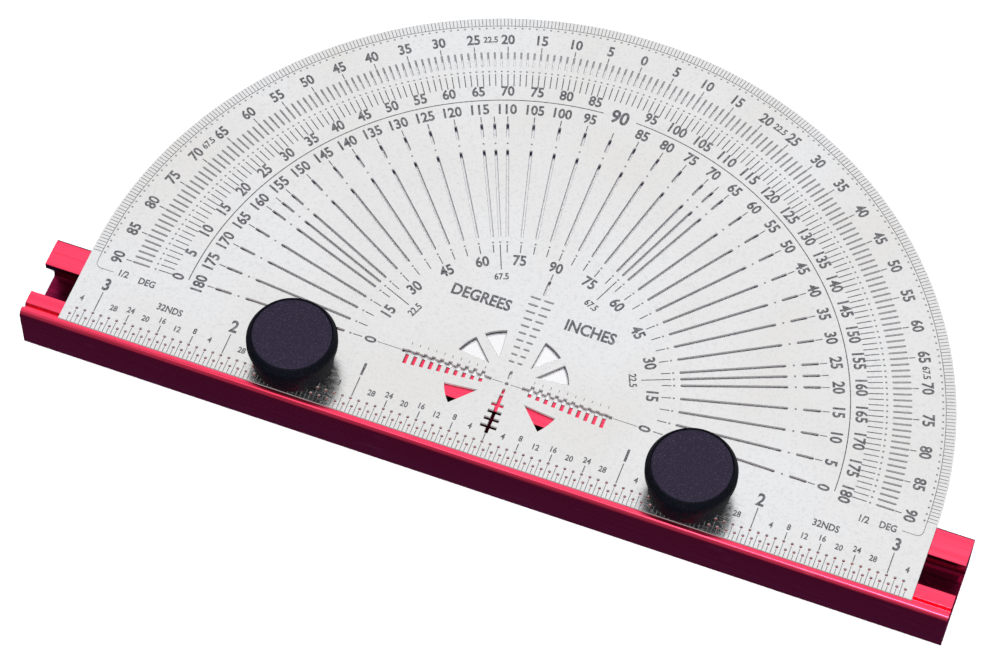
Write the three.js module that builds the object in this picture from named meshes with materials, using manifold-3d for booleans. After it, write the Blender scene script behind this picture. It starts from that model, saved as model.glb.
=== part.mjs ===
// Marking protractor: a thin slotted half-disc blade clamped on a T-slot rail by two thumb knobs.
// Millimetres, +Z up. The origin is the centre of the rail's underside.
// +X runs along the rail and the ruler edge, +Y from the rail towards the dome of the blade.
// The assembly is drawn with the protractor's centre at x = 0, y = 0 and moved back at the end.

import * as THREE from 'three';
import { mergeVertices } from 'three/addons/utils/BufferGeometryUtils.js';
import Module from 'manifold-3d';

const wasm = await Module();
wasm.setup();

const INCH = 25.4;
const DEGREE = Math.PI / 180;
const CLEARANCE = 0.1;

// Rail section, measured back from the registration face at y = 0 and up from the underside at z = 0.
const RAIL_LENGTH = 7 * INCH;
const RAIL_DEPTH = 17.6;
const RAIL_HEIGHT = 10.4;
const LAND_Z = 9.8;
const REAR_CHAMFER = 0.4;
const FOOT_CHAMFER = 0.4;
const SLOT_CENTRE_Y = -9.0;
const SLOT_OPENING = 6.2;
const SLOT_WIDTH = 11.3;
const SLOT_FLOOR_Z = 1.9;
const FLANGE_THICKNESS = 1.8;
const FLANGE_CHAMFER = 0.35;
const GROOVE_REAR_Y = -14.8;
const GROOVE_DEPTH = 0.7;
const LIP_REAR_Y = -16.1;
const LIP_TOP_WIDTH = 0.7;
const LIP_CHAMFER = 0.75;

// Blade.
const BLADE_RADIUS = 3.22 * INCH;
const BLADE_THICKNESS = 0.5;
const BLADE_Z = LAND_Z + CLEARANCE;
const BLADE_TOP_Z = BLADE_Z + BLADE_THICKNESS;
const BASE_EDGE_Y = LIP_REAR_Y + CLEARANCE;
const DOME_STEPS = 90;
const KNOB_SPREAD = 1.5 * INCH;
const BOLT_HOLE_RADIUS = 2.65;
const CENTRE_HOLE_RADIUS = 0.35;
const LINE_WIDTH = 0.5;
const COMB_WIDTH = 0.65;

// Pencil slots along each 5 degree line, as distances from the protractor's centre.
const LONG_SLOT = [1.245 * INCH, 2.018 * INCH];
const OUTER_SLOT = [2.125 * INCH, 2.255 * INCH];
const HALF_STEP_LINES = [22.5, 67.5, 112.5, 157.5];

// Marking-gauge slots that cross the baseline and the 90 degree line every sixteenth of an inch.
const SIXTEENTH = INCH / 16;
const COMB_FIRST = 3;
const COMB_LAST = 12;
const COMB_REACH_BACK = [1.1, 0.45];
const COMB_REACH_FRONT = [1.25, 2.55];
const BASELINE_SLOT = [3.0, 20.3];
const CROSS_COUNT = 4;
const CROSS_HALF_LENGTH = [1.15, 1.55];
const SPINE_SLOT = [-2.5, -10.95];
const NEAR_SLOT_FRONT = [-1.1, -2.3];
const NEAR_SLOT_BACK = [1.0, 2.85];
const RIGHT_ANGLE_SLOT = [20.0, 23.5];

// Windows round the centre: the apex and the two corners on the outer arc, as radius and angle.
const WINDOW_APEX = [0.215 * INCH, 34];
const WINDOW_RADIUS = 0.447 * INCH;
const WINDOW_ANGLES = [19.2, 40.6];
const WINDOW_ARC_STEPS = 4;

// Clamps, measured up from the top of the blade.
const WASHER_RADIUS = 6.4;
const WASHER_BORE = 2.6;
const WASHER_THICKNESS = 0.8;
const KNOB_FOOT = CLEARANCE + WASHER_THICKNESS + CLEARANCE;
const KNOB_HEIGHT = 9.1;
const KNOB_RADIUS = 8.33;
const BODY_RADIUS = 7.5;
const WAIST_RADIUS = 7.35;
const WAIST_Z = 5.2;
const RIM_Z = [6.0, 7.75];
const RIM_CORNER = 0.3;
const CAP_RADIUS = 7.3;
const CAP_GROOVE = 0.12;
const CAP_THICKNESS = 1.1;
const CAP_EDGE = 0.2;
const SHOULDER_RADIUS = 7.62;
const INSERT_RADIUS = 3.6;
const INSERT_BORE = 2.5;
const INSERT_LENGTH = 6.0;
const INSERT_BAND = 0.8;
const INSERT_STEP = 0.3;
const BOLT_RADIUS = 2.4;
const BOLT_REACH = 6.9;
const HEAD_ACROSS_FLATS = 10.6;
const HEAD_THICKNESS = 3.4;
const ROUND_STEPS = 36;

const finish = {
  blade: new THREE.MeshStandardMaterial({ color: 0xd9dadb, metalness: 0.9, roughness: 0.38 }),
  rail: new THREE.MeshStandardMaterial({ color: 0xc8102e, metalness: 0.7, roughness: 0.35 }),
  knob: new THREE.MeshStandardMaterial({ color: 0x17151c, metalness: 0.0, roughness: 0.7 }),
  cap: new THREE.MeshStandardMaterial({ color: 0x2a2733, metalness: 0.0, roughness: 0.8 }),
  insert: new THREE.MeshStandardMaterial({ color: 0xb08d3c, metalness: 0.9, roughness: 0.35 }),
  washer: new THREE.MeshStandardMaterial({ color: 0x1c1c1e, metalness: 0.0, roughness: 0.6 }),
  bolt: new THREE.MeshStandardMaterial({ color: 0xa9abae, metalness: 0.9, roughness: 0.35 }),
};

// A closed geometry as a solid that can be joined and cut, and back again.
function toSolid(geometry) {
  const bare = geometry.clone();
  bare.deleteAttribute('normal');
  bare.deleteAttribute('uv');
  const merged = mergeVertices(bare, 1e-4);
  return new wasm.Manifold(
    new wasm.Mesh({
      numProp: 3,
      vertProperties: new Float32Array(merged.attributes.position.array),
      triVerts: new Uint32Array(merged.index.array),
    }),
  );
}

function fromSolid(solid) {
  const mesh = solid.getMesh();
  const geometry = new THREE.BufferGeometry();
  geometry.setAttribute('position', new THREE.BufferAttribute(mesh.vertProperties, 3));
  geometry.setIndex(new THREE.BufferAttribute(mesh.triVerts, 1));
  return geometry;
}

// The rail's section as a list of [y, z] corners, going round the outside and then the T-slot.
function railSection() {
  const slotHalf = SLOT_WIDTH / 2;
  const openingHalf = SLOT_OPENING / 2;
  const ceiling = LAND_Z - FLANGE_THICKNESS;
  const front = -RAIL_DEPTH;
  const section = [
    [0, FOOT_CHAMFER],
    [0, LAND_Z - REAR_CHAMFER],
    [-REAR_CHAMFER, LAND_Z],
  ];
  for (const side of [1, -1]) {
    const lip = [
      [SLOT_CENTRE_Y + side * openingHalf, LAND_Z],
      [SLOT_CENTRE_Y + side * openingHalf, ceiling + FLANGE_CHAMFER],
      [SLOT_CENTRE_Y + side * (openingHalf + FLANGE_CHAMFER), ceiling],
      [SLOT_CENTRE_Y + side * slotHalf, ceiling],
      [SLOT_CENTRE_Y + side * slotHalf, SLOT_FLOOR_Z],
    ];
    section.push(...(side > 0 ? lip : lip.reverse()));
  }
  section.push(
    [GROOVE_REAR_Y, LAND_Z],
    [GROOVE_REAR_Y - GROOVE_DEPTH / 2, LAND_Z - GROOVE_DEPTH],
    [LIP_REAR_Y, LAND_Z - GROOVE_DEPTH],
    [LIP_REAR_Y, RAIL_HEIGHT - CLEARANCE],
    [LIP_REAR_Y - CLEARANCE, RAIL_HEIGHT],
    [LIP_REAR_Y - LIP_TOP_WIDTH, RAIL_HEIGHT],
    [front, RAIL_HEIGHT - LIP_CHAMFER],
    [front, FOOT_CHAMFER],
    [front + FOOT_CHAMFER, 0],
    [-FOOT_CHAMFER, 0],
  );
  return section;
}

function rail() {
  const shape = new THREE.Shape(railSection().map(([y, z]) => new THREE.Vector2(y, z)));
  const geometry = new THREE.ExtrudeGeometry(shape, { depth: RAIL_LENGTH, bevelEnabled: false });
  geometry.translate(0, 0, -RAIL_LENGTH / 2);
  const alongX = new THREE.Matrix4().makeBasis(
    new THREE.Vector3(0, 1, 0),
    new THREE.Vector3(0, 0, 1),
    new THREE.Vector3(1, 0, 0),
  );
  geometry.applyMatrix4(alongX);
  return geometry;
}

function polar(radius, angle) {
  return new THREE.Vector2(radius * Math.cos(angle * DEGREE), radius * Math.sin(angle * DEGREE));
}

function arc(radius, from, to, steps) {
  return Array.from({ length: steps + 1 }, (_, i) => polar(radius, from + ((to - from) * i) / steps));
}

function circle(x, y, radius, steps) {
  return arc(radius, 0, 360, steps).slice(0, -1).map((p) => p.add(new THREE.Vector2(x, y)));
}

// A straight slot from one radius to another along the line at an angle.
function slot(angle, [inner, outer], width) {
  const along = polar(1, angle);
  const across = new THREE.Vector2(-along.y, along.x).multiplyScalar(width / 2);
  const start = along.clone().multiplyScalar(inner);
  const end = along.clone().multiplyScalar(outer);
  return [start.clone().sub(across), end.clone().sub(across), end.add(across), start.add(across)];
}

// One edge of a spine slot with teeth: out along each tooth in turn.
function toothedEdge(teeth, half) {
  return teeth.flatMap(([place, reach]) => [
    new THREE.Vector2(place - half, half),
    new THREE.Vector2(place - half, reach),
    new THREE.Vector2(place + half, reach),
    new THREE.Vector2(place + half, half),
  ]);
}

// A slot along +x with teeth on both sides. Each tooth is [place, reach above, reach below].
function toothedSlot([start, end], teeth, width) {
  const half = width / 2;
  const above = toothedEdge(teeth.map(([place, up]) => [place, up]), half);
  const below = toothedEdge(teeth.map(([place, , down]) => [place, down]), half);
  const lower = below.map((p) => new THREE.Vector2(p.x, -p.y));
  return [
    new THREE.Vector2(start, -half),
    ...lower,
    new THREE.Vector2(end, -half),
    new THREE.Vector2(end, half),
    ...above.reverse(),
    new THREE.Vector2(start, half),
  ];
}

function between([first, last], share) {
  return first + (last - first) * share;
}

function comb() {
  const teeth = [];
  for (let k = COMB_FIRST; k <= COMB_LAST; k += 1) {
    const share = (k - COMB_FIRST) / (COMB_LAST - COMB_FIRST);
    teeth.push([k * SIXTEENTH, between(COMB_REACH_BACK, share), between(COMB_REACH_FRONT, share)]);
  }
  return toothedSlot(BASELINE_SLOT, teeth, COMB_WIDTH);
}

// The spine below the centre with its cross bars, turned to run down the 90 degree line.
function crosses() {
  const teeth = [];
  for (let k = 0; k < CROSS_COUNT; k += 1) {
    const reach = between(CROSS_HALF_LENGTH, k / (CROSS_COUNT - 1));
    teeth.push([(COMB_FIRST + k) * SIXTEENTH, reach, reach]);
  }
  const alongX = toothedSlot(SPINE_SLOT.map(Math.abs), teeth, COMB_WIDTH);
  return alongX.map((p) => new THREE.Vector2(p.y, -p.x));
}

// One window, from its apex round the outer arc. mirror swaps it about the 45 degree line.
function window45(mirror) {
  const turn = (angle) => (mirror ? 90 - angle : angle);
  const [low, high] = WINDOW_ANGLES.map(turn);
  return [polar(WINDOW_APEX[0], turn(WINDOW_APEX[1])), ...arc(WINDOW_RADIUS, low, high, WINDOW_ARC_STEPS)];
}

function flip(points, flipX, flipY) {
  return points.map((p) => new THREE.Vector2(p.x * flipX, p.y * flipY));
}

function bladeHoles() {
  const holes = [];
  for (const side of [-1, 1]) {
    holes.push(circle(side * KNOB_SPREAD, SLOT_CENTRE_Y, BOLT_HOLE_RADIUS, 24));
    holes.push(flip(comb(), side, 1));
    holes.push(flip(window45(false), side, 1));
    holes.push(flip(window45(true), side, 1));
    holes.push(flip(window45(false), side, -1));
  }
  holes.push(crosses());
  holes.push(circle(0, 0, CENTRE_HOLE_RADIUS, 8));
  for (const span of [NEAR_SLOT_BACK, NEAR_SLOT_FRONT, RIGHT_ANGLE_SLOT]) {
    holes.push(slot(90, span, LINE_WIDTH));
  }
  const fives = Array.from({ length: 37 }, (_, i) => i * 5);
  for (const angle of [...fives, ...HALF_STEP_LINES]) {
    holes.push(slot(angle, LONG_SLOT, LINE_WIDTH));
    holes.push(slot(angle, OUTER_SLOT, LINE_WIDTH));
  }
  return holes;
}

function prism(points, depth) {
  return new THREE.ExtrudeGeometry(new THREE.Shape(points), { depth, bevelEnabled: false });
}

function blade() {
  const outline = [
    new THREE.Vector2(-BLADE_RADIUS, BASE_EDGE_Y),
    new THREE.Vector2(BLADE_RADIUS, BASE_EDGE_Y),
    ...arc(BLADE_RADIUS, 0, 180, DOME_STEPS),
  ];
  let sheet = toSolid(prism(outline, BLADE_THICKNESS));
  for (const points of bladeHoles()) {
    const cutter = prism(points, 3 * BLADE_THICKNESS).translate(0, 0, -BLADE_THICKNESS);
    sheet = sheet.subtract(toSolid(cutter));
  }
  return fromSolid(sheet);
}

// A turned piece from a closed [radius, z] outline that doesn't reach the axis.
function turned(outline) {
  const closed = [...outline, outline[0]].map(([radius, z]) => new THREE.Vector2(radius, z));
  return new THREE.LatheGeometry(closed, ROUND_STEPS).rotateX(Math.PI / 2);
}

function ring(inner, outer, height) {
  return turned([[inner, 0], [outer, 0], [outer, height], [inner, height]]);
}

function knob() {
  const top = KNOB_HEIGHT - KNOB_FOOT;
  const fromFoot = (z) => z - KNOB_FOOT;
  const recess = top - CAP_THICKNESS - CLEARANCE;
  const bore = INSERT_RADIUS + CLEARANCE;
  return turned([
    [bore, 0],
    [BODY_RADIUS - RIM_CORNER, 0],
    [BODY_RADIUS, RIM_CORNER],
    [WAIST_RADIUS, fromFoot(WAIST_Z)],
    [KNOB_RADIUS - RIM_CORNER, fromFoot(RIM_Z[0])],
    [KNOB_RADIUS, fromFoot(RIM_Z[0]) + RIM_CORNER],
    [KNOB_RADIUS, fromFoot(RIM_Z[1])],
    [SHOULDER_RADIUS + RIM_CORNER, top - CAP_EDGE],
    [SHOULDER_RADIUS, top],
    [CAP_RADIUS + CAP_GROOVE, top],
    [CAP_RADIUS + CAP_GROOVE, recess],
    [bore, recess],
  ]);
}

function knobCap() {
  return new THREE.LatheGeometry(
    [
      new THREE.Vector2(0, 0),
      new THREE.Vector2(CAP_RADIUS, 0),
      new THREE.Vector2(CAP_RADIUS, CAP_THICKNESS - CAP_EDGE),
      new THREE.Vector2(CAP_RADIUS - CAP_EDGE, CAP_THICKNESS),
      new THREE.Vector2(0, CAP_THICKNESS),
    ],
    ROUND_STEPS,
  ).rotateX(Math.PI / 2);
}

// The insert has a plain waist between two bands, which keys it into the moulding.
function insert() {
  const waist = INSERT_RADIUS - INSERT_STEP;
  return turned([
    [INSERT_BORE, 0],
    [INSERT_RADIUS, 0],
    [INSERT_RADIUS, INSERT_LENGTH / 2 - INSERT_BAND],
    [waist, INSERT_LENGTH / 2 - INSERT_BAND / 2],
    [waist, INSERT_LENGTH / 2 + INSERT_BAND / 2],
    [INSERT_RADIUS, INSERT_LENGTH / 2 + INSERT_BAND],
    [INSERT_RADIUS, INSERT_LENGTH],
    [INSERT_BORE, INSERT_LENGTH],
  ]);
}

// Hexagon-head bolt with its head's underside at z = 0 and a chamfered tip.
function tBolt() {
  const corner = HEAD_ACROSS_FLATS / Math.sqrt(3);
  const hexagon = new THREE.Shape(circle(0, 0, corner, 6));
  const head = new THREE.ExtrudeGeometry(hexagon, { depth: HEAD_THICKNESS, bevelEnabled: false });
  const length = BLADE_TOP_Z + BOLT_REACH - headTopZ() + HEAD_THICKNESS;
  const tip = 0.5;
  const shank = new THREE.LatheGeometry(
    [
      new THREE.Vector2(0, HEAD_THICKNESS / 2),
      new THREE.Vector2(BOLT_RADIUS, HEAD_THICKNESS / 2),
      new THREE.Vector2(BOLT_RADIUS, length - tip),
      new THREE.Vector2(BOLT_RADIUS - tip, length),
      new THREE.Vector2(0, length),
    ],
    ROUND_STEPS,
  ).rotateX(Math.PI / 2);
  return fromSolid(toSolid(head).add(toSolid(shank)));
}

function headTopZ() {
  return LAND_Z - FLANGE_THICKNESS - CLEARANCE;
}

function place(name, geometry, material, x, y, z) {
  const mesh = new THREE.Mesh(geometry, material);
  mesh.name = name;
  mesh.position.set(x, y, z);
  return mesh;
}

// One clamp: bolt up through the slot and blade, washer, knob with its insert and cap.
function clamp(side, x) {
  const group = new THREE.Group();
  const foot = BLADE_TOP_Z + KNOB_FOOT;
  const capZ = BLADE_TOP_Z + KNOB_HEIGHT - CAP_THICKNESS;
  group.position.set(x, SLOT_CENTRE_Y, 0);
  group.add(
    place(`${side}_t_bolt`, tBolt(), finish.bolt, 0, 0, headTopZ() - HEAD_THICKNESS),
    place(`${side}_washer`, ring(WASHER_BORE, WASHER_RADIUS, WASHER_THICKNESS), finish.washer, 0, 0,
      BLADE_TOP_Z + CLEARANCE),
    place(`${side}_knob`, knob(), finish.knob, 0, 0, foot),
    place(`${side}_insert`, insert(), finish.insert, 0, 0, foot),
    place(`${side}_knob_cap`, knobCap(), finish.cap, 0, 0, capZ),
  );
  return group;
}

const protractor = new THREE.Group();
protractor.position.set(0, RAIL_DEPTH / 2, 0);
protractor.add(
  place('rail', rail(), finish.rail, 0, 0, 0),
  place('blade', blade(), finish.blade, 0, 0, BLADE_Z),
  clamp('left', -KNOB_SPREAD),
  clamp('right', KNOB_SPREAD),
);

const part = new THREE.Group();
part.add(protractor);

export default part;
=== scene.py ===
"""A marking protractor: a slotted steel half-disc clamped on a red T-slot rail by two thumb knobs."""

import math

import bmesh
import bpy
from mathutils import Matrix, Vector
from mathutils.geometry import delaunay_2d_cdt

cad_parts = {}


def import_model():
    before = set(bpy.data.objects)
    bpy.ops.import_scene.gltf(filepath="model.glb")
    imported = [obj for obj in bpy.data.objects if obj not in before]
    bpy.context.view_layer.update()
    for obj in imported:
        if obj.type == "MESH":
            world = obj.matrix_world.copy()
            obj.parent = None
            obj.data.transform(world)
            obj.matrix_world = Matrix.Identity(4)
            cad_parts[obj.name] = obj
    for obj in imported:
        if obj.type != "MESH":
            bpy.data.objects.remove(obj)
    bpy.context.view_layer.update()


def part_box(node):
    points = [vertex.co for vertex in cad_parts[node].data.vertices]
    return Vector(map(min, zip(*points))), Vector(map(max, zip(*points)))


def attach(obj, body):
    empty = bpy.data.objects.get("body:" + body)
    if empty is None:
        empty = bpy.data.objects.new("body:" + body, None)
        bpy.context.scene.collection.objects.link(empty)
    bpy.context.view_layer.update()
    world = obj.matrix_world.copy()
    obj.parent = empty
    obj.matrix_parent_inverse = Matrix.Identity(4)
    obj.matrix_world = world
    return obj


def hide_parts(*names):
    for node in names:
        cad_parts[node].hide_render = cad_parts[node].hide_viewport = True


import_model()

MM = 0.001
INCH = 0.0254
SIXTEENTH = INCH / 16
THIRTY_SECOND = INCH / 32
SIDES = ("left", "right")

rail_low, rail_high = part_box("rail")
blade_low, blade_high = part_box("blade")
CENTRE_Y = rail_high.y
BLADE_TOP = blade_high.z
BLADE_RADIUS = blade_high.x
BASE_EDGE = blade_low.y - CENTRE_Y

# Edges and fillets that are too small for the CAD model.
SHEET_EDGE = 0.03 * MM
RAIL_END_EDGE = 0.05 * MM
ROUND_STEPS = 96

# Slots and pinholes in the blade. Radii and reaches are distances from the protractor's centre.
SLOT_WIDTH = 0.5 * MM
COMB_WIDTH = 0.65 * MM
FINE_SLOT_WIDTH = 0.34 * MM
PIN_RADIUS = 0.18 * MM
RULER_PIN_RADIUS = 0.26 * MM
CENTRE_HOLE_RADIUS = 0.35 * MM
BOLT_HOLE_RADIUS = 2.65 * MM
LONG_SLOT = (1.245 * INCH, 2.018 * INCH)
OUTER_SLOT = (2.125 * INCH, 2.255 * INCH)
DEGREE_SLOT = (2.767 * INCH, 2.903 * INCH)
LONG_SLOT_PINS = (1.2 * INCH, 2.072 * INCH)
DEGREE_PINS = (2.724 * INCH, 3.124 * INCH)
HALF_STEP_LINES = (22.5, 67.5, 112.5, 157.5)
FIVES = [5 * i for i in range(37)]
COMB_FIRST, COMB_LAST = 3, 12
COMB_SPAN = (3.0 * MM, 20.3 * MM)
COMB_REACH_BACK = (1.1 * MM, 0.45 * MM)
COMB_REACH_FRONT = (1.25 * MM, 2.55 * MM)
SPINE_SPAN = (2.5 * MM, 10.95 * MM)
CROSS_COUNT = 4
CROSS_REACH = (1.15 * MM, 1.55 * MM)
RIGHT_ANGLE_SLOTS = ((1.0, 2.85), (-2.3, -1.1), (20.0, 23.5))
WINDOW_APEX = (0.215 * INCH, 34)
WINDOW_RADIUS = 0.447 * INCH
WINDOW_ANGLES = (19.2, 40.6)
LADDER_GAP = (0.01 * INCH, 0.014 * INCH)
LADDER_REACH = (0.052 * INCH, 0.09 * INCH)
RULER_ROW_Y = -0.506 * INCH
RULER_STAGGERED_Y = -0.566 * INCH
RULER_LAST = 101

# Etched marks stand a hair above the blade, so that they are solids of their own.
MARK_LOW = BLADE_TOP - 0.004 * MM
MARK_HIGH = BLADE_TOP + 0.008 * MM
LINE = 0.2 * MM
FINE_LINE = 0.12 * MM


# Outlines are lists of 2-D vectors round the protractor's centre, in metres.

def polar(radius, angle):
    turn = math.radians(angle)
    return Vector((radius * math.cos(turn), radius * math.sin(turn)))


def arc(radius, start, end, steps):
    return [polar(radius, start + (end - start) * i / steps) for i in range(steps + 1)]


def circle(centre, radius, steps=10):
    return [centre + p for p in arc(radius, 0, 360, steps)[:-1]]


def capsule(start, end, width, steps=4):
    """A slot with round ends."""
    along = math.degrees(math.atan2(end.y - start.y, end.x - start.x))
    pull = polar(width / 2, along)
    far = [end - pull + p for p in arc(width / 2, along - 90, along + 90, steps)]
    near = [start + pull + p for p in arc(width / 2, along + 90, along + 270, steps)]
    return far + near


def radial(angle, span, width):
    return capsule(polar(span[0], angle), polar(span[1], angle), width)


def signed_area(loop):
    return sum(a.x * b.y - a.y * b.x for a, b in zip(loop, loop[1:] + loop[:1])) / 2


def offset(loop, amount):
    """The closed loop moved outwards by amount, or inwards where amount is negative."""
    turn = math.copysign(amount, amount * signed_area(loop))
    moved = []
    for before, here, after in zip(loop[-1:] + loop[:-1], loop, loop[1:] + loop[:1]):
        one = (here - before).normalized()
        two = (after - here).normalized()
        normal = Vector((one.y + two.y, -one.x - two.x))
        moved.append(here + normal * turn / (1 + one.dot(two)))
    return moved


def fillet(corners, steps=3):
    """A closed outline of (x, y, radius) corners, each rounded where its radius isn't 0."""
    outline = []
    count = len(corners)
    for i, (x, y, radius) in enumerate(corners):
        here = Vector((x, y))
        before = Vector(corners[i - 1][:2]) - here
        after = Vector(corners[(i + 1) % count][:2]) - here
        half = before.angle(after) / 2
        reach = min(radius / math.tan(half), 0.45 * before.length, 0.45 * after.length) if radius else 0
        if reach <= 0:
            outline.append(here)
            continue
        start = here + before.normalized() * reach
        end = here + after.normalized() * reach
        for k in range(steps + 1):
            t = k / steps
            outline.append((1 - t) ** 2 * start + 2 * t * (1 - t) * here + t * t * end)
    return outline


def between(ends, share):
    return ends[0] + (ends[1] - ends[0]) * share


def middle(node):
    """The middle of a CAD node, seen from above."""
    low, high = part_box(node)
    return ((low + high) / 2).to_2d()


# Meshes. Every one is closed, with its faces pointing out.

def piece(name, mesh, body, material, smooth=None):
    """The bmesh as an object that rides on a CAD body. smooth is the angle under which edges shade as one."""
    bmesh.ops.recalc_face_normals(mesh, faces=mesh.faces)
    data = bpy.data.meshes.new(name)
    mesh.to_mesh(data)
    mesh.free()
    made = bpy.data.objects.new(name, data)
    bpy.context.scene.collection.objects.link(made)
    if smooth:
        data.shade_smooth()
        data.set_sharp_from_angle(angle=math.radians(smooth))
    data.materials.append(material)
    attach(made, body)
    return made


def bridge(mesh, lower, upper):
    """Quads between two rings of the same length."""
    for i in range(len(lower)):
        mesh.faces.new((lower[i - 1], lower[i], upper[i], upper[i - 1]))


def ring_of(mesh, loop, z):
    return [mesh.verts.new((p.x, p.y + CENTRE_Y, z)) for p in loop]


def cap(mesh, loops, rings):
    """Triangles over the first loop, leaving out the loops inside it."""
    points = [p for loop in loops for p in loop]
    corners = [v for ring in rings for v in ring]
    faces = []
    start = 0
    for loop in loops:
        face = list(range(start, start + len(loop)))
        faces.append(face if signed_area(loop) > 0 else face[::-1])
        start += len(loop)
    _, _, triangles, origins, _, inside = delaunay_2d_cdt(points, [], faces, 1, 1e-9)
    for triangle, holders in zip(triangles, inside):
        if holders == [0]:
            mesh.faces.new([corners[origins[i][0]] for i in triangle])


def sheet(outline, holes):
    """The blade's flat sheet, cut by every hole, with its edges broken."""
    mesh = bmesh.new()
    levels = (
        (SHEET_EDGE, blade_low.z),
        (0, blade_low.z + SHEET_EDGE),
        (0, BLADE_TOP - SHEET_EDGE),
        (SHEET_EDGE, BLADE_TOP),
    )
    stacks = []
    for inset, z in levels:
        loops = [offset(outline, -inset)] + [offset(hole, inset) for hole in holes]
        stacks.append((loops, [ring_of(mesh, loop, z) for loop in loops]))
    for (_, lower), (_, upper) in zip(stacks, stacks[1:]):
        for one, two in zip(lower, upper):
            bridge(mesh, one, two)
    cap(mesh, *stacks[0])
    cap(mesh, *stacks[-1])
    return mesh


def ribbon(mesh, points, width):
    """An etched line along the points."""
    lower, upper = [], []
    last = len(points) - 1
    for side in (1, -1):
        order = range(last + 1) if side > 0 else range(last, -1, -1)
        for i in order:
            along = (points[min(i + 1, last)] - points[max(i - 1, 0)]).normalized()
            place = points[i] + Vector((-along.y, along.x)) * side * width / 2
            lower.append(mesh.verts.new((place.x, place.y + CENTRE_Y, MARK_LOW)))
            upper.append(mesh.verts.new((place.x, place.y + CENTRE_Y, MARK_HIGH)))
    bridge(mesh, lower, upper)
    for ring in (lower, upper):
        for i in range(last):
            mesh.faces.new((ring[i], ring[i + 1], ring[-2 - i], ring[-1 - i]))


def turned(name, outline, centre, body, material, smooth=35):
    """A round piece from a closed (radius, z) outline. A point at radius 0 lies on the axis."""
    mesh = bmesh.new()
    rings = []
    for point in outline:
        if point.x < 1e-9:
            rings.append([mesh.verts.new((centre.x, centre.y, point.y))])
            continue
        ring = [centre + polar(point.x, 360 * i / ROUND_STEPS) for i in range(ROUND_STEPS)]
        rings.append([mesh.verts.new((p.x, p.y, point.y)) for p in ring])
    for one, two in zip(rings, rings[1:] + rings[:1]):
        if len(one) == len(two) == 1:
            continue
        if len(one) == len(two):
            bridge(mesh, one, two)
            continue
        axis, rim = sorted((one, two), key=len)
        for i in range(ROUND_STEPS):
            mesh.faces.new((axis[0], rim[i - 1], rim[i]))
    return piece(name, mesh, body, material, smooth)


# Materials. Noise runs in the piece's own coordinates, in metres.

class Finish:
    """A principled material with procedural noise for its colour, roughness and relief."""

    def __init__(self, name, base, metallic=0.0, specular=0.5):
        self.material = bpy.data.materials.new(name)
        self.material.use_nodes = True
        self.tree = self.material.node_tree
        self.shader = self.tree.nodes["Principled BSDF"]
        self.shader.inputs["Metallic"].default_value = metallic
        self.shader.inputs["Specular IOR Level"].default_value = specular
        self.place = self.tree.nodes.new("ShaderNodeTexCoord").outputs["Object"]
        self.base = base
        self.layer = None
        self.height = None

    def noise(self, size, stretch=(1, 1, 1), detail=3, low=0.35, high=0.65):
        """Noise from 0 to 1 with features about size metres across, drawn out along the axes by stretch."""
        mapping = self.tree.nodes.new("ShaderNodeMapping")
        mapping.inputs["Scale"].default_value = [1 / s for s in stretch]
        self.tree.links.new(self.place, mapping.inputs["Vector"])
        noise = self.tree.nodes.new("ShaderNodeTexNoise")
        noise.inputs["Scale"].default_value = 1 / size
        noise.inputs["Detail"].default_value = detail
        self.tree.links.new(mapping.outputs["Vector"], noise.inputs["Vector"])
        ramp = self.tree.nodes.new("ShaderNodeMapRange")
        ramp.inputs["From Min"].default_value = low
        ramp.inputs["From Max"].default_value = high
        self.tree.links.new(noise.outputs["Fac"], ramp.inputs["Value"])
        return ramp.outputs["Result"]

    def tint(self, colour, amount):
        """Lays colour over what is there, as far as amount goes."""
        mix = self.tree.nodes.new("ShaderNodeMix")
        mix.data_type = "RGBA"
        base, over = (socket for socket in mix.inputs if socket.type == "RGBA")
        base.default_value = (*self.base, 1)
        over.default_value = (*colour, 1)
        self.tree.links.new(amount, mix.inputs["Factor"])
        if self.layer:
            self.tree.links.new(self.layer, base)
        self.layer = next(socket for socket in mix.outputs if socket.type == "RGBA")
        self.tree.links.new(self.layer, self.shader.inputs["Base Color"])

    def roughness(self, smooth, rough, amount):
        ramp = self.tree.nodes.new("ShaderNodeMapRange")
        ramp.inputs["To Min"].default_value = smooth
        ramp.inputs["To Max"].default_value = rough
        self.tree.links.new(amount, ramp.inputs["Value"])
        self.tree.links.new(ramp.outputs["Result"], self.shader.inputs["Roughness"])

    def relief(self, amount, depth, strength=1.0):
        """Bump of depth metres, on top of any relief given before."""
        bump = self.tree.nodes.new("ShaderNodeBump")
        bump.inputs["Distance"].default_value = depth
        bump.inputs["Strength"].default_value = strength
        self.tree.links.new(amount, bump.inputs["Height"])
        if self.height:
            self.tree.links.new(self.height, bump.inputs["Normal"])
        self.height = bump.outputs["Normal"]
        self.tree.links.new(self.height, self.shader.inputs["Normal"])


def steel_finish():
    """Satin stainless sheet: fine rolled grain, and a slow drift between warm and cool grey."""
    finish = Finish("satin_stainless", (0.56, 0.55, 0.54), metallic=1.0)
    grain = finish.noise(0.35 * MM, (3, 1, 1), detail=4)
    finish.tint((0.585, 0.585, 0.59), finish.noise(30 * MM, detail=2))
    finish.tint((0.50, 0.50, 0.505), finish.noise(0.6 * MM, detail=4, low=0.5, high=0.8))
    finish.roughness(0.18, 0.30, grain)
    finish.relief(grain, 0.004 * MM, 0.5)
    return finish.material


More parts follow.
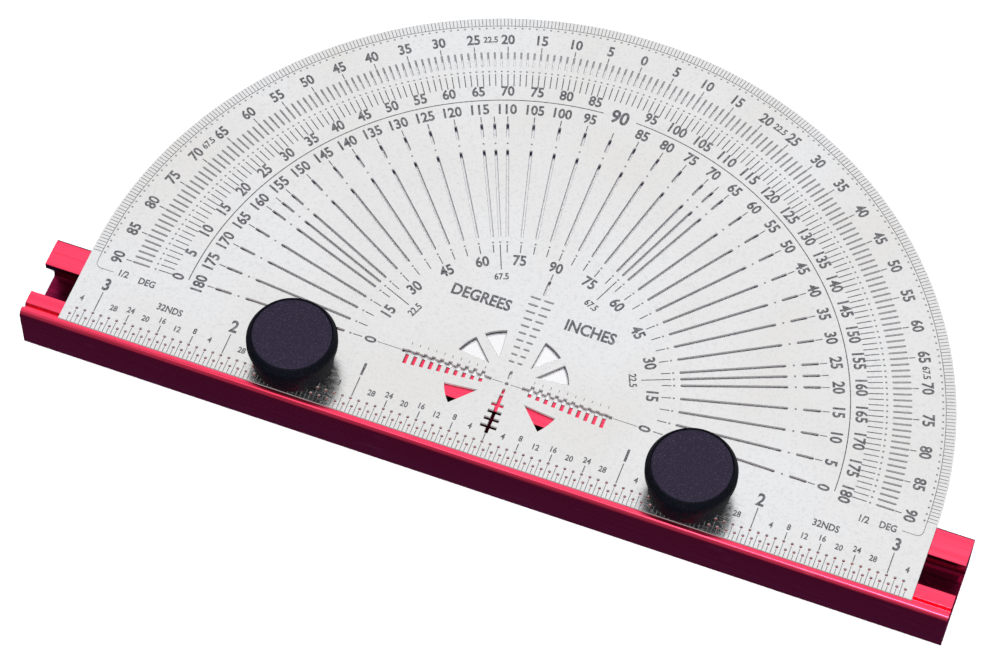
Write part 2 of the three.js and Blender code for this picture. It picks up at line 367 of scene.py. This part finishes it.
def cut_edge_finish():
    """Walls of the blade's slots and windows, left dull where they were cut."""
    finish = Finish("cut_edge", (0.53, 0.52, 0.51), metallic=0.2, specular=0.3)
    burr = finish.noise(0.12 * MM, (1, 1, 5), detail=4)
    finish.tint((0.41, 0.405, 0.40), burr)
    finish.roughness(0.6, 0.8, burr)
    finish.relief(burr, 0.01 * MM, 0.6)
    return finish.material


def etch_finish():
    """Etched marks: dark grey, worn a little thinner in places."""
    finish = Finish("etched_marks", (0.045, 0.045, 0.05), specular=0.3)
    wear = finish.noise(0.5 * MM, detail=3, low=0.4, high=0.75)
    finish.tint((0.16, 0.16, 0.17), wear)
    finish.roughness(0.5, 0.7, wear)
    finish.relief(wear, 0.003 * MM, 0.4)
    return finish.material


def anodised_finish(name, dye_and_shade, pale, scuffed):
    """Red anodised extrusion: die lines along its length, uneven dye, and scuffs where it is handled.
    dye_and_shade is the dye's colour; the T-slot's inside passes a darker copy of it, which is painted shade.
    """
    finish = Finish(name, dye_and_shade, metallic=1.0)
    lines = finish.noise(0.35 * MM, (160, 1, 1), detail=4)
    finish.tint(pale, finish.noise(14 * MM, (3, 1, 1), detail=2))
    finish.tint([0.88 * c for c in dye_and_shade], lines)
    finish.tint(scuffed, finish.noise(1.6 * MM, (4, 1, 1), detail=5, low=0.62, high=0.8))
    finish.roughness(0.24, 0.37, lines)
    finish.relief(lines, 0.006 * MM, 0.5)
    return finish.material


def plastic_finish(name, dark, light, speck, speck_from):
    """Spark-textured moulding: fine grain with pale specks where their noise is over speck_from."""
    finish = Finish(name, dark, specular=0.06)
    grain = finish.noise(0.3 * MM, detail=5)
    finish.tint(light, grain)
    finish.tint(speck, finish.noise(0.16 * MM, detail=1, low=speck_from, high=0.85))
    finish.roughness(0.5, 0.72, grain)
    finish.relief(grain, 0.05 * MM, 0.6)
    return finish.material


def turned_finish(name, one, two, smooth, rough):
    """Machined metal with fine tool marks round its axis."""
    finish = Finish(name, one, metallic=1.0)
    marks = finish.noise(0.12 * MM, (6, 6, 1), detail=4)
    finish.tint(two, finish.noise(1.2 * MM, detail=3))
    finish.roughness(smooth, rough, marks)
    finish.relief(marks, 0.004 * MM, 0.5)
    return finish.material


STEEL = steel_finish()
CUT_EDGE = cut_edge_finish()
ETCH = etch_finish()
RED = anodised_finish(
    "red_anodised", (0.83, 0.049, 0.112), (0.91, 0.064, 0.132), (0.94, 0.12, 0.19),
)
# A darker copy of the red anodising for the faces inside the T-slot. The darkening is painted shade for the
# channel's recess.
RED_PAINTED_SHADE = anodised_finish(
    "red_anodised_painted_shade", (0.15, 0.005, 0.032), (0.20, 0.007, 0.040), (0.23, 0.014, 0.045),
)
KNOB = plastic_finish(
    "knob_moulding", (0.001, 0.0015, 0.003), (0.003, 0.004, 0.007), (0.02, 0.022, 0.03), 0.66,
)
CAP = plastic_finish(
    "cap_disc", (0.011, 0.008, 0.018), (0.019, 0.015, 0.028), (0.08, 0.07, 0.11), 0.6,
)
NYLON = plastic_finish(
    "washer_nylon", (0.016, 0.016, 0.017), (0.030, 0.030, 0.032), (0.05, 0.05, 0.05), 0.7,
)
BRASS = turned_finish("insert_brass", (0.68, 0.50, 0.19), (0.76, 0.58, 0.27), 0.22, 0.4)
ZINC = turned_finish("zinc_plate", (0.60, 0.61, 0.63), (0.68, 0.68, 0.66), 0.26, 0.42)


# Blade.

def toothed(span, teeth, width):
    """A slot along +x with a tooth up and down at each (place, reach up, reach down)."""
    half = width / 2
    above, below = [], []
    for place, up, down in teeth:
        for edge, reach, sign in ((above, up, 1), (below, down, -1)):
            for x, y in ((-half, half), (-half, reach), (half, reach), (half, half)):
                edge.append(Vector((place + x, sign * y)))
    start, end = span
    return [
        Vector((start, -half)), *below, Vector((end, -half)),
        Vector((end, half)), *reversed(above), Vector((start, half)),
    ]


def comb():
    teeth = []
    for k in range(COMB_FIRST, COMB_LAST + 1):
        share = (k - COMB_FIRST) / (COMB_LAST - COMB_FIRST)
        teeth.append((k * SIXTEENTH, between(COMB_REACH_BACK, share), between(COMB_REACH_FRONT, share)))
    return toothed(COMB_SPAN, teeth, COMB_WIDTH)


def crosses():
    """The spine in front of the centre with its cross bars."""
    teeth = []
    for k in range(CROSS_COUNT):
        reach = between(CROSS_REACH, k / (CROSS_COUNT - 1))
        teeth.append(((COMB_FIRST + k) * SIXTEENTH, reach, reach))
    return [Vector((p.y, -p.x)) for p in toothed(SPINE_SPAN, teeth, COMB_WIDTH)]


def window(mirrored):
    angles = [90 - a if mirrored else a for a in (WINDOW_APEX[1], *WINDOW_ANGLES)]
    return [polar(WINDOW_APEX[0], angles[0]), *arc(WINDOW_RADIUS, angles[1], angles[2], 8)]


def flipped(loop, across=1, along=1):
    return [Vector((p.x * across, p.y * along)) for p in loop]


def ladder_reach(k):
    return between(LADDER_REACH, (k - COMB_FIRST) / (COMB_LAST - COMB_FIRST))


def ladder():
    """Two columns of short slots up the 90 degree line, one rung each sixteenth."""
    rungs = []
    for k in range(COMB_FIRST, COMB_LAST + 1):
        for side, gap in zip((-1, 1), LADDER_GAP):
            rungs.append(capsule(
                Vector((side * gap, k * SIXTEENTH)),
                Vector((side * ladder_reach(k), k * SIXTEENTH)),
                FINE_SLOT_WIDTH,
            ))
    return rungs


def ruler_pins():
    pins = []
    for n in range(-RULER_LAST, RULER_LAST + 1):
        y = RULER_STAGGERED_Y if n % 2 else RULER_ROW_Y
        pins.append(circle(Vector((n * THIRTY_SECOND, y)), RULER_PIN_RADIUS))
    return pins


def blade_holes():
    holes = [crosses(), circle(Vector((0, 0)), CENTRE_HOLE_RADIUS)]
    for name in SIDES:
        bolt = middle(f"{name}_t_bolt")
        side = math.copysign(1, bolt.x)
        holes.append(circle(bolt - Vector((0, CENTRE_Y)), BOLT_HOLE_RADIUS, 48))
        holes += [flipped(comb(), side), flipped(window(False), side), flipped(window(True), side)]
        holes.append(flipped(window(False), side, -1))
    for start, end in RIGHT_ANGLE_SLOTS:
        holes.append(capsule(Vector((0, start * MM)), Vector((0, end * MM)), SLOT_WIDTH))
    for angle in (*FIVES, *HALF_STEP_LINES):
        holes += [radial(angle, LONG_SLOT, SLOT_WIDTH), radial(angle, OUTER_SLOT, SLOT_WIDTH)]
        holes += [circle(polar(radius, angle), PIN_RADIUS) for radius in LONG_SLOT_PINS]
    for angle in range(181):
        holes.append(radial(angle, DEGREE_SLOT, FINE_SLOT_WIDTH))
        holes += [circle(polar(radius, angle), PIN_RADIUS) for radius in DEGREE_PINS]
    return holes + ladder() + ruler_pins()


def cut_wall(face):
    return abs(face.normal.z) < 0.5


def blade():
    corners = [Vector((-BLADE_RADIUS, BASE_EDGE)), Vector((BLADE_RADIUS, BASE_EDGE))]
    mesh = sheet(corners + arc(BLADE_RADIUS, 0, 180, 360), blade_holes())
    made = piece("slotted_blade", mesh, "blade", STEEL)
    made.data.materials.append(CUT_EDGE)
    for face in made.data.polygons:
        face.material_index = int(cut_wall(face))
    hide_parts("blade")


# Etched marks on the blade.

LETTER_WEIGHT = 0.03
NUMERAL_SQUEEZE = 0.86


class Lettering:
    """Flat solid letters, each text built once and then set wherever it is needed."""

    def __init__(self, mesh):
        self.mesh = mesh
        self.made = {}

    def build(self, text):
        """The text's corners round its own middle, its faces and its height."""
        curve = bpy.data.curves.new("lettering", "FONT")
        curve.body = text
        curve.resolution_u = 3
        curve.extrude = 0.5
        curve.offset = LETTER_WEIGHT
        holder = bpy.data.objects.new("lettering", curve)
        bpy.context.scene.collection.objects.link(holder)
        bpy.context.view_layer.update()
        evaluated = holder.evaluated_get(bpy.context.evaluated_depsgraph_get())
        data = bpy.data.meshes.new_from_object(evaluated)
        letters = bmesh.new()
        letters.from_mesh(data)
        bmesh.ops.remove_doubles(letters, verts=letters.verts, dist=1e-5)
        xs = [v.co.x for v in letters.verts]
        ys = [v.co.y for v in letters.verts]
        half_way = Vector(((min(xs) + max(xs)) / 2, (min(ys) + max(ys)) / 2, 0))
        points = [v.co - half_way for v in letters.verts]
        faces = [[v.index for v in f.verts] for f in letters.faces]
        letters.free()
        bpy.data.objects.remove(holder)
        bpy.data.curves.remove(curve)
        bpy.data.meshes.remove(data)
        return points, faces, max(ys) - min(ys)

    def shape(self, text):
        if text not in self.made:
            self.made[text] = self.build(text)
        return self.made[text]

    def put(self, text, place, height, turn=0.0):
        """Sets text with its middle at place, its capitals height tall and its top turned by turn degrees."""
        points, faces, own_height = self.shape(text)
        size = height / own_height
        spin = Matrix.Rotation(math.radians(turn), 2)
        corners = []
        for p in points:
            flat = place + spin @ Vector((p.x * size * NUMERAL_SQUEEZE, p.y * size))
            z = MARK_HIGH if p.z > 0 else MARK_LOW
            corners.append(self.mesh.verts.new((flat.x, flat.y + CENTRE_Y, z)))
        for face in faces:
            self.mesh.faces.new([corners[i] for i in face])

    def on_arc(self, text, radius, angle, height):
        self.put(text, polar(radius, angle), height, angle - 90)


NUMERAL = 0.092 * INCH
SMALL_NUMERAL = 0.058 * INCH
RULER_NUMERAL = 0.105 * INCH
RULER_SMALL = 0.05 * INCH
OUTER_SCALE = 3.02 * INCH
UPPER_SCALE = 2.545 * INCH
LOWER_SCALE = 2.38 * INCH
INNER_SCALE = 1.045 * INCH
HALF_STEP_SCALE = 0.905 * INCH
SCALE_LINE = 2.462 * INCH
RIM_LINE = 3.145 * INCH
INNER_LEADER = (1.11 * INCH, 1.18 * INCH)
LONG_LEADER = 0.965 * INCH
OUTER_LEADER = (2.262 * INCH, 2.315 * INCH)
DEGREE_LEADER = (2.59 * INCH, 2.70 * INCH)
FIVE_LEADER = (2.908 * INCH, 2.955 * INCH)
RIM_TICKS = (3.148 * INCH, 3.212 * INCH)
RIM_CORNER = 0.045 * INCH
RIM_DROP = -0.134 * INCH
RIM_LINE_END = 3.0 * INCH
BASELINE_STROKES = ((0.03 * INCH, 0.112 * INCH), (0.806 * INCH, 0.99 * INCH))
COMB_TICKS = (0.064 * INCH, 0.086 * INCH)
SPINE_STROKE = (0.93 * INCH, 0.985 * INCH)
SPINE_FOOT = (-0.504 * INCH + RULER_PIN_RADIUS, -0.436 * INCH)
RULER_TICK_FOOT = BASE_EDGE + 0.06 * MM
RULER_TICK_TOP = -0.522 * INCH
STAGGERED_TICK_TOP = -0.582 * INCH
INCH_NUMERAL_Y = -0.25 * INCH
INCH_STROKE = (-0.49 * INCH, -0.318 * INCH)
COUNT_Y = -0.415 * INCH
RAISED_COUNT_Y = -0.388 * INCH
RAISED_STROKE = (-0.49 * INCH, -0.432 * INCH)
UNITS_PLACE = (2.49 * INCH, -0.285 * INCH)
WORD_PLACE = (0.42 * INCH, 0.62 * INCH)
WORD_HEIGHT = 0.1 * INCH
# Places in inches. The two ends of the scale aren't quite alike.
HALF_DEGREE_LABELS = (
    ("1/2", (-2.92, -0.122)),
    ("DEG", (-2.735, -0.133)),
    ("1/2", (2.725, -0.14)),
    ("DEG", (2.90, -0.138)),
)


def spoke(mesh, angle, span, width=LINE):
    ribbon(mesh, [polar(span[0], angle), polar(span[1], angle)], width)


def stroke(mesh, x, low, high, width=LINE):
    ribbon(mesh, [Vector((x, low)), Vector((x, high))], width)


def etch_lines(mesh):
    for angle in (*FIVES, *HALF_STEP_LINES):
        half_step = angle in HALF_STEP_LINES
        spoke(mesh, angle, (LONG_LEADER if half_step else INNER_LEADER[0], INNER_LEADER[1]))
        spoke(mesh, angle, OUTER_LEADER)
    for angle in range(181):
        spoke(mesh, angle, DEGREE_LEADER)
        if angle % 5 == 0:
            spoke(mesh, angle, FIVE_LEADER)
    for half_degree in range(361):
        spoke(mesh, half_degree / 2, RIM_TICKS, FINE_LINE)
    for start, end in ((0, 87), (93, 180)):
        ribbon(mesh, arc(SCALE_LINE, start, end, 90), LINE)
    stroke(mesh, 0, *SPINE_STROKE)
    stroke(mesh, 0, *SPINE_FOOT)


def etch_rim(mesh):
    """The line inside the rim. At each end it rounds a corner and runs in to the half-degree label."""
    for side in (-1, 1):
        line = arc(RIM_LINE, 90, 0, 120)
        turn = Vector((RIM_LINE - RIM_CORNER, RIM_DROP + RIM_CORNER))
        line += [turn + p for p in arc(RIM_CORNER, 0, -90, 6)]
        line.append(Vector((RIM_LINE_END, RIM_DROP)))
        ribbon(mesh, flipped(line, side), FINE_LINE)


def etch_baseline(mesh):
    """The 0 to 180 degree line, broken for the comb and the numerals, and the comb's own marks."""
    for side in (-1, 1):
        for start, end in BASELINE_STROKES:
            ribbon(mesh, flipped([Vector((start, 0)), Vector((end, 0))], side), FINE_LINE)
        for k in range(COMB_FIRST, COMB_LAST + 1):
            stroke(mesh, side * k * SIXTEENTH, *COMB_TICKS, FINE_LINE)


def over_bolt_hole(place):
    """Whether a small numeral at place would reach over one of the bolt holes."""
    holes = [middle(f"{side}_t_bolt") - Vector((0, CENTRE_Y)) for side in SIDES]
    return any((place - hole).length < BOLT_HOLE_RADIUS + RULER_SMALL for hole in holes)


def etch_counts(mesh, letters, side):
    """The count of 32nds at every fourth line between the inches, clear of the bolt holes."""
    for n in range(4, RULER_LAST, 4):
        count = n % 32
        raised = count % 8 == 0
        x = side * n * THIRTY_SECOND
        place = Vector((x, RAISED_COUNT_Y if raised else COUNT_Y))
        if count == 0 or over_bolt_hole(place):
            continue
        letters.put(str(count), place, RULER_SMALL)
        if raised:
            stroke(mesh, x, *RAISED_STROKE)


def etch_ruler(mesh, letters):
    for n in range(-RULER_LAST, RULER_LAST + 1):
        top = STAGGERED_TICK_TOP if n % 2 else RULER_TICK_TOP
        stroke(mesh, n * THIRTY_SECOND, RULER_TICK_FOOT, top, FINE_LINE)
    for side in (-1, 1):
        for inch in (1, 2, 3):
            x = side * inch * INCH
            letters.put(str(inch), Vector((x, INCH_NUMERAL_Y)), RULER_NUMERAL)
            stroke(mesh, x, *INCH_STROKE)
        etch_counts(mesh, letters, side)
        letters.put("32NDS", Vector((side * UNITS_PLACE[0], UNITS_PLACE[1])), SMALL_NUMERAL)
    for text, place in HALF_DEGREE_LABELS:
        letters.put(text, Vector(place) * INCH, SMALL_NUMERAL)


def etch_scales(letters):
    for angle in FIVES:
        letters.on_arc(str(abs(90 - angle)), OUTER_SCALE, angle, NUMERAL)
        if angle != 90:
            letters.on_arc(str(180 - angle), UPPER_SCALE, angle, NUMERAL)
            letters.on_arc(str(angle), LOWER_SCALE, angle, NUMERAL)
        if angle % 15 == 0:
            letters.on_arc(str(min(angle, 180 - angle)), INNER_SCALE, angle, NUMERAL)
    letters.on_arc("90", SCALE_LINE, 90, 1.35 * NUMERAL)
    for angle in HALF_STEP_LINES:
        letters.on_arc(str(abs(90 - angle)), OUTER_SCALE, angle, SMALL_NUMERAL)
        letters.on_arc(str(min(angle, 180 - angle)), HALF_STEP_SCALE, angle, SMALL_NUMERAL)


def markings():
    mesh = bmesh.new()
    letters = Lettering(mesh)
    etch_lines(mesh)
    etch_rim(mesh)
    etch_baseline(mesh)
    etch_ruler(mesh, letters)
    etch_scales(letters)
    for side, word in ((-1, "DEGREES"), (1, "INCHES")):
        letters.put(word, Vector((side * WORD_PLACE[0], WORD_PLACE[1])), WORD_HEIGHT)
    piece("blade_markings", mesh, "blade", ETCH)


# Rail.

# The section's corners as (y, z, radius), from the foot of the registration face round the outside and
# through the T-slot. y is measured back from that face, and z up from the underside, in millimetres.
RAIL_CORNERS = (
    (0, 0.4, 0.15), (0, 9.4, 0.08), (-0.4, 9.8, 0.08),
    (-5.9, 9.8, 0.14), (-5.9, 8.35, 0.1), (-5.55, 8.0, 0.1), (-3.35, 8.0, 0.3), (-3.35, 1.9, 0.4),
    (-14.65, 1.9, 0.4), (-14.65, 8.0, 0.3), (-12.45, 8.0, 0.1), (-12.1, 8.35, 0.1), (-12.1, 9.8, 0.14),
    (-14.8, 9.8, 0.14), (-15.15, 9.1, 0.12), (-16.1, 9.1, 0.1), (-16.1, 10.4, 0.12),
    (-16.9, 10.4, 0.55), (-17.6, 9.65, 0.7), (-17.6, 0.4, 0.15), (-17.2, 0, 0.15), (-0.4, 0, 0.15),
)
# The T-slot's own faces lie inside this stretch of y and this stretch of z. These faces get the darker
# anodising, which is painted shade.
CHANNEL_Y = (-14.7 * MM, -3.3 * MM)
CHANNEL_Z = (1.5 * MM, 9.5 * MM)


def in_channel(face):
    y = face.center.y - CENTRE_Y
    across = CHANNEL_Y[0] < y < CHANNEL_Y[1]
    return across and CHANNEL_Z[0] < face.center.z < CHANNEL_Z[1] and abs(face.normal.x) < 0.5


def rail():
    """One extruded length, with its sawn ends deburred."""
    section = fillet([(y * MM, z * MM, r * MM) for y, z, r in RAIL_CORNERS], 3)
    inner = offset(section, -RAIL_END_EDGE)
    mesh = bmesh.new()
    rings = []
    for x, loop in (
        (rail_low.x, inner), (rail_low.x + RAIL_END_EDGE, section),
        (rail_high.x - RAIL_END_EDGE, section), (rail_high.x, inner),
    ):
        rings.append([mesh.verts.new((x, CENTRE_Y + p.x, p.y)) for p in loop])
    for one, two in zip(rings, rings[1:]):
        bridge(mesh, one, two)
    for ring in (rings[0], rings[-1]):
        cap(mesh, [inner], [ring])
    made = piece("t_slot_rail", mesh, "rail", RED, 25)
    # The T-slot's faces take the darker copy of the anodising: painted shade in the channel.
    made.data.materials.append(RED_PAINTED_SHADE)
    for face in made.data.polygons:
        face.material_index = int(in_channel(face))
    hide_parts("rail")


# Clamps.

# The knob's section as (radius, z, fillet) in millimetres, with z measured down from the top. The body goes
# up from the foot to the waist and out under the rim, and the shoulder goes in to the recess for the disc.
KNOB_WAIST_TO_CAP = (
    (7.35, -3.9, 0.4), (8.33, -2.95, 0.45), (8.33, -1.35, 0.5),
    (7.62, 0, 0.25), (7.42, 0, 0.06), (7.42, -1.2, 0),
)
KNOB_BODY_RADIUS = 7.5 * MM
KNOB_BORE = 3.7 * MM
CAP_THICKNESS = 1.2 * MM
WASHER_BORE = 2.6 * MM
WASHER_EDGE = 0.15 * MM
INSERT_BORE = 2.5 * MM
INSERT_EDGE = 0.12 * MM
INSERT_NECK_DEPTH = 0.3 * MM


def knob(side):
    low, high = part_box(f"{side}_knob")
    centre = middle(f"{side}_knob")
    outline = fillet([
        (KNOB_BORE, low.z, 0), (KNOB_BODY_RADIUS, low.z, 0.35 * MM),
        *((radius * MM, high.z + z * MM, edge * MM) for radius, z, edge in KNOB_WAIST_TO_CAP),
        (KNOB_BORE, high.z - CAP_THICKNESS, 0),
    ], 5)
    made = turned(f"{side}_knob_moulding", outline, centre, f"{side}_knob", KNOB)
    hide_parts(f"{side}_knob")


def cap_disc(side):
    """The disc let into the knob's top, very slightly domed."""
    low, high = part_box(f"{side}_knob_cap")
    centre = middle(f"{side}_knob_cap")
    radius = (high.x - low.x) / 2
    outline = fillet([
        (0, low.z, 0), (radius, low.z, 0.05 * MM), (radius, high.z - 0.14 * MM, 0.12 * MM),
        (radius - 0.25 * MM, high.z - 0.05 * MM, 0.2 * MM), (0.55 * radius, high.z - 0.015 * MM, 0),
        (0, high.z, 0),
    ], 4)
    made = turned(f"{side}_cap_disc", outline, centre, f"{side}_knob", CAP)
    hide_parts(f"{side}_knob_cap")


def washer(side):
    low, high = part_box(f"{side}_washer")
    centre = middle(f"{side}_washer")
    outer = (high.x - low.x) / 2
    corners = ((WASHER_BORE, low.z), (outer, low.z), (outer, high.z), (WASHER_BORE, high.z))
    outline = fillet([(radius, z, WASHER_EDGE) for radius, z in corners], 3)
    made = turned(f"{side}_nylon_washer", outline, centre, "blade", NYLON)
    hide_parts(f"{side}_washer")


def insert(side):
    low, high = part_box(f"{side}_insert")
    centre = middle(f"{side}_insert")
    outer = (high.x - low.x) / 2
    neck = outer - INSERT_NECK_DEPTH
    waist = (low.z + high.z) / 2
    corners = (
        (INSERT_BORE, low.z), (outer, low.z), (outer, waist - 0.8 * MM), (neck, waist - 0.4 * MM),
        (neck, waist + 0.4 * MM), (outer, waist + 0.8 * MM), (outer, high.z), (INSERT_BORE, high.z),
    )
    outline = fillet([(radius, z, INSERT_EDGE) for radius, z in corners], 3)
    made = turned(f"{side}_brass_insert", outline, centre, f"{side}_knob", BRASS)
    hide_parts(f"{side}_insert")


THREAD_PITCH = THIRTY_SECOND
THREAD_DEPTH = 0.42 * MM
SHANK_RADIUS = 2.4 * MM
HEAD_THICKNESS = 3.4 * MM
THREAD_SIDES = 48
THREAD_ROWS_PER_PITCH = 8
THREAD_RUN_OUT = 0.8 * MM
SHANK_CHAMFER = 0.5 * MM
HEAD_BEVEL = 0.35 * MM


def hexagon(corner, inset):
    """Radii round a hexagon that has its corners cut back by inset."""
    radii = []
    for i in range(THREAD_SIDES):
        from_flat = 360 * i / THREAD_SIDES % 60 - 30
        flat = corner * math.cos(math.radians(30)) / math.cos(math.radians(from_flat))
        radii.append(min(flat, corner - inset))
    return radii


def thread_row(z, foot, tip):
    """Radii round the shank at height z. The thread runs out at the foot and the tip is chamfered."""
    taper = max(0.0, z - tip + SHANK_CHAMFER)
    run_out = min(1.0, (z - foot) / THREAD_RUN_OUT)
    radii = []
    for i in range(THREAD_SIDES):
        phase = (z / THREAD_PITCH - i / THREAD_SIDES) % 1
        cut = THREAD_DEPTH * min(1.0, max(0.0, 1.5 * abs(2 * phase - 1) - 0.2)) * run_out
        radii.append(SHANK_RADIUS - max(cut, taper))
    return radii


def t_bolt(side):
    """Hexagon-head bolt with a real helical thread. The head slides in the rail's slot."""
    low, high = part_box(f"{side}_t_bolt")
    centre = middle(f"{side}_t_bolt")
    head_top = low.z + HEAD_THICKNESS
    corner = (high.x - low.x) / 2
    rows = [
        (low.z, hexagon(corner, HEAD_BEVEL)),
        (low.z + HEAD_BEVEL / 2, hexagon(corner, 0)),
        (head_top - HEAD_BEVEL / 2, hexagon(corner, 0)),
        (head_top, hexagon(corner, HEAD_BEVEL)),
    ]
    steps = round((high.z - head_top) / THREAD_PITCH * THREAD_ROWS_PER_PITCH)
    for step in range(steps + 1):
        z = between((head_top, high.z), step / steps)
        rows.append((z, thread_row(z, head_top, high.z)))
    mesh = bmesh.new()
    rings = []
    for z, radii in rows:
        ring = [centre + polar(radius, 360 * i / THREAD_SIDES) for i, radius in enumerate(radii)]
        rings.append([mesh.verts.new((p.x, p.y, z)) for p in ring])
    for one, two in zip(rings, rings[1:]):
        bridge(mesh, one, two)
    mesh.faces.new(rings[0])
    mesh.faces.new(rings[-1])
    made = piece(f"{side}_threaded_bolt", mesh, f"{side}_bolt", ZINC, 30)
    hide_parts(f"{side}_t_bolt")


# Studio.

CAMERA_PLACE = Vector((105.1, -304.0, 577.8)) * MM
CAMERA_TARGET = Vector((-4.99, 18.86, 10.4)) * MM
CAMERA_ROLL = 1.696
CAMERA_LENS = 130.0
FLOOR_REACH = 6
FLOOR_GAP = 0.05 * MM
WORLD_STRENGTH = 0.35
WORLD_BELOW = (0.13, 0.10, 0.32)
WORLD_ABOVE = (0.95, 0.97, 1.0)
# The key is far behind the camera and nearly in line with it, so that the floor shows bright through the
# blade's windows.
KEY_PLACE = (0.383, -1.126, 2.199)
KEY_SIZE = (0.11, 0.11)
KEY_POWER = 85.0
BACK_PLACE = (0.05, 0.62, 0.85)
BACK_SIZE = (1.7, 1.2)
BACK_POWER = 7.0
LIGHTS_AIM = Vector((0, 0.03, 0))


def camera():
    data = bpy.data.cameras.new("camera")
    data.lens = CAMERA_LENS
    data.sensor_width = 36
    data.clip_start = 0.01
    data.clip_end = 20
    made = bpy.data.objects.new("camera", data)
    bpy.context.scene.collection.objects.link(made)
    aim = (CAMERA_TARGET - CAMERA_PLACE).to_track_quat("-Z", "Y").to_matrix().to_4x4()
    roll = Matrix.Rotation(math.radians(CAMERA_ROLL), 4, "Z")
    made.matrix_world = Matrix.Translation(CAMERA_PLACE) @ aim @ roll
    bpy.context.scene.camera = made


def floor():
    """A pale floor. Glossy rays pass through it to the darker lower half of the studio."""
    mesh = bmesh.new()
    bmesh.ops.create_grid(mesh, x_segments=2, y_segments=2, size=FLOOR_REACH)
    data = bpy.data.meshes.new("floor")
    mesh.to_mesh(data)
    mesh.free()
    made = bpy.data.objects.new("floor", data)
    bpy.context.scene.collection.objects.link(made)
    finish = Finish("pale_floor", (0.75, 0.75, 0.75), specular=0.1)
    finish.tint((0.77, 0.77, 0.77), finish.noise(60 * MM, detail=2))
    finish.shader.inputs["Roughness"].default_value = 0.9
    data.materials.append(finish.material)
    made.location.z = rail_low.z - FLOOR_GAP
    made.visible_glossy = False


def softbox(name, place, size, power):
    """A rectangular area light turned towards the part."""
    data = bpy.data.lights.new(name, "AREA")
    data.shape = "RECTANGLE"
    data.size, data.size_y = size
    data.energy = power
    made = bpy.data.objects.new(name, data)
    bpy.context.scene.collection.objects.link(made)
    made.location = place
    made.rotation_euler = (LIGHTS_AIM - Vector(place)).to_track_quat("-Z", "Y").to_euler()


def world():
    """Even light from above the horizon, and a dim plum colour from below it."""
    made = bpy.data.worlds.new("studio")
    made.use_nodes = True
    tree = made.node_tree
    place = tree.nodes.new("ShaderNodeTexCoord")
    split = tree.nodes.new("ShaderNodeSeparateXYZ")
    ramp = tree.nodes.new("ShaderNodeValToRGB")
    tree.links.new(place.outputs["Generated"], split.inputs["Vector"])
    tree.links.new(split.outputs["Z"], ramp.inputs["Fac"])
    dark, light = ramp.color_ramp.elements
    dark.position = 0.1
    dark.color = (*WORLD_BELOW, 1)
    light.position = 0.45
    light.color = (*WORLD_ABOVE, 1)
    tree.links.new(ramp.outputs["Color"], tree.nodes["Background"].inputs["Color"])
    tree.nodes["Background"].inputs["Strength"].default_value = WORLD_STRENGTH
    bpy.context.scene.world = made


def studio():
    camera()
    floor()
    softbox("key", KEY_PLACE, KEY_SIZE, KEY_POWER)
    softbox("behind", BACK_PLACE, BACK_SIZE, BACK_POWER)
    world()
    bpy.context.scene.view_settings.view_transform = "Standard"


studio()
rail()
blade()
markings()
for side in SIDES:
    knob(side)
    cap_disc(side)
    washer(side)
    insert(side)
    t_bolt(side)
